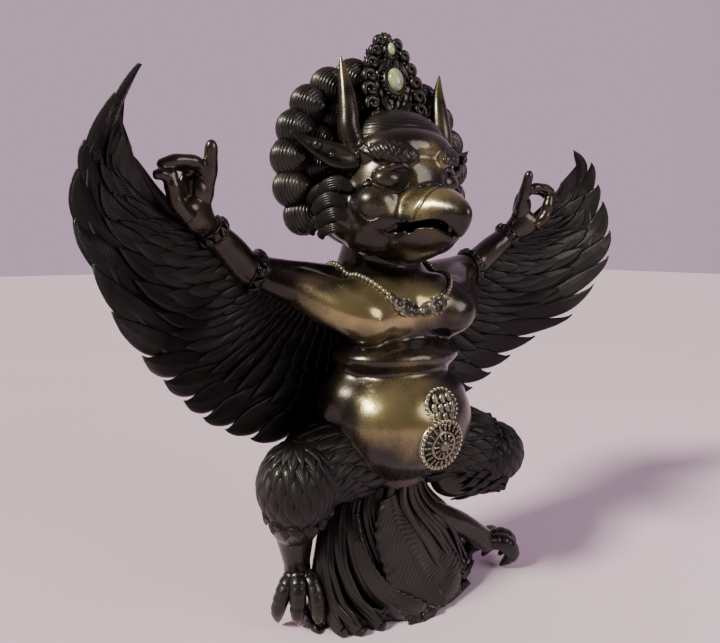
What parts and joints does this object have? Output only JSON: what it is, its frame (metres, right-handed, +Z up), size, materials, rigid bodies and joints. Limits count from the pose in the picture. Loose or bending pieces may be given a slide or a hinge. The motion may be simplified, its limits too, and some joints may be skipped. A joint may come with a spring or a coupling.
{
  "type": "garuda figure",
  "caption": "Cast bronze garuda: horned bird-headed guardian with a round belly and spread wings, crouching on clawed feet and a fan of tail plumes, crest set with pale stones.",
  "frame": {"origin": "on the flat underside of the tail, at floor level, under the middle of the figure", "axes": "+Z up, the figure faces -Y, its own right hand is at -X"},
  "size_m": [0.2248, 0.0765, 0.2201],
  "materials": {
    "bronze": "dark brown patina, rubbed to a golden brown on the head, breast and belly",
    "cabochon": "polished pale green",
    "top_stone": "polished pale green"
  },
  "bodies": {
    "root": {"garuda_figure": "bronze", "crest_cabochon": "cabochon", "crest_top_stone": "top_stone"}
  },
  "joints": []
}
